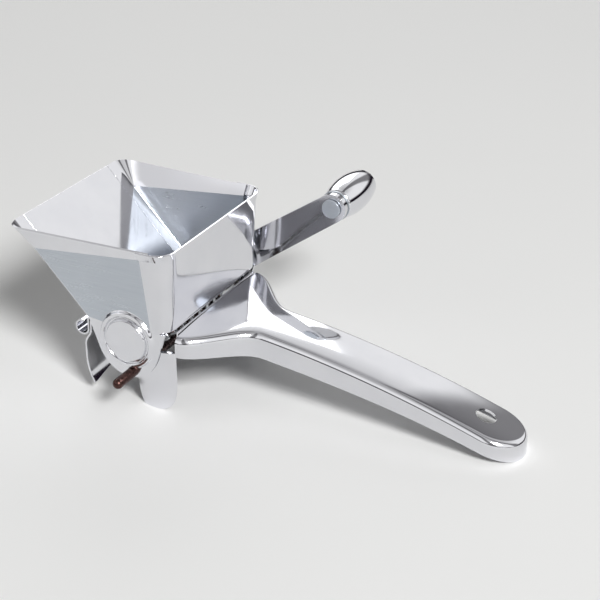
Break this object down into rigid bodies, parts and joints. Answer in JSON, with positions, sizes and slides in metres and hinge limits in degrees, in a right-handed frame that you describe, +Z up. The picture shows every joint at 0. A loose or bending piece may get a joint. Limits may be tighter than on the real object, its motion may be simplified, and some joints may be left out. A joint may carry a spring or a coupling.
{
  "type": "rotary herb cutter",
  "caption": "Hand-cranked rotary herb cutter: a flared steel hopper over a rotor of toothed discs, with a crank, a turning knob and a channel handle.",
  "frame": {"origin": "middle of the cutter's box, on the table that it stands on", "axes": "+X along the handle towards its tail, +Y along the rotor towards the crank, +Z up"},
  "size_m": [0.2004, 0.1218, 0.0713],
  "materials": {
    "polished_steel": "mirror-polished stainless steel",
    "satin_steel": "satin stainless steel",
    "blade_steel": "ground stainless steel",
    "dark_steel": "dark browned steel",
    "nylon": "natural nylon"
  },
  "bodies": {
    "frame": {"near_end_plate": "satin_steel", "far_end_plate": "satin_steel", "slant_wall": "polished_steel", "rear_wall": "polished_steel", "front_comb": "blade_steel", "rear_comb": "blade_steel", "front_cheek": "polished_steel", "rear_apron": "polished_steel", "near_foot": "polished_steel", "far_foot": "polished_steel", "tie_rod": "dark_steel", "tie_nut": "dark_steel", "handle_shell": "polished_steel", "handle_rivet_1": "satin_steel", "handle_rivet_2": "satin_steel", "handle_rivet_3": "satin_steel", "handle_rivet_4": "satin_steel", "near_bush": "nylon", "far_bush": "nylon"},
    "rotor": {"rotor_shaft": "satin_steel", "near_collar": "satin_steel", "far_collar": "satin_steel", "cutter_disc_1": "blade_steel", "cutter_disc_2": "blade_steel", "cutter_disc_3": "blade_steel", "cutter_disc_4": "blade_steel", "cutter_disc_5": "blade_steel", "cutter_disc_6": "blade_steel", "cutter_disc_7": "blade_steel", "cutter_disc_8": "blade_steel", "cutter_disc_9": "blade_steel", "spacer_1": "satin_steel", "spacer_2": "satin_steel", "spacer_3": "satin_steel", "spacer_4": "satin_steel", "spacer_5": "satin_steel", "spacer_6": "satin_steel", "spacer_7": "satin_steel", "spacer_8": "satin_steel", "crank_spacer": "satin_steel", "crank_arm": "polished_steel", "crank_washer": "satin_steel", "crank_nut": "polished_steel", "knob_spindle": "satin_steel", "knob_washer": "satin_steel"},
    "knob": {"crank_knob": "polished_steel"}
  },
  "joints": [
    {"name": "crank_turn", "type": "hinge", "parent": "frame", "child": "rotor", "pos_m": [-0.04983, -0.0129, 0.029], "axis": [0, 1, 0], "continuous": true},
    {"name": "knob_spin", "type": "hinge", "parent": "rotor", "child": "knob", "pos_m": [-0.00068, 0.0466, 0.06341], "axis": [0, 1, 0], "continuous": true}
  ]
}
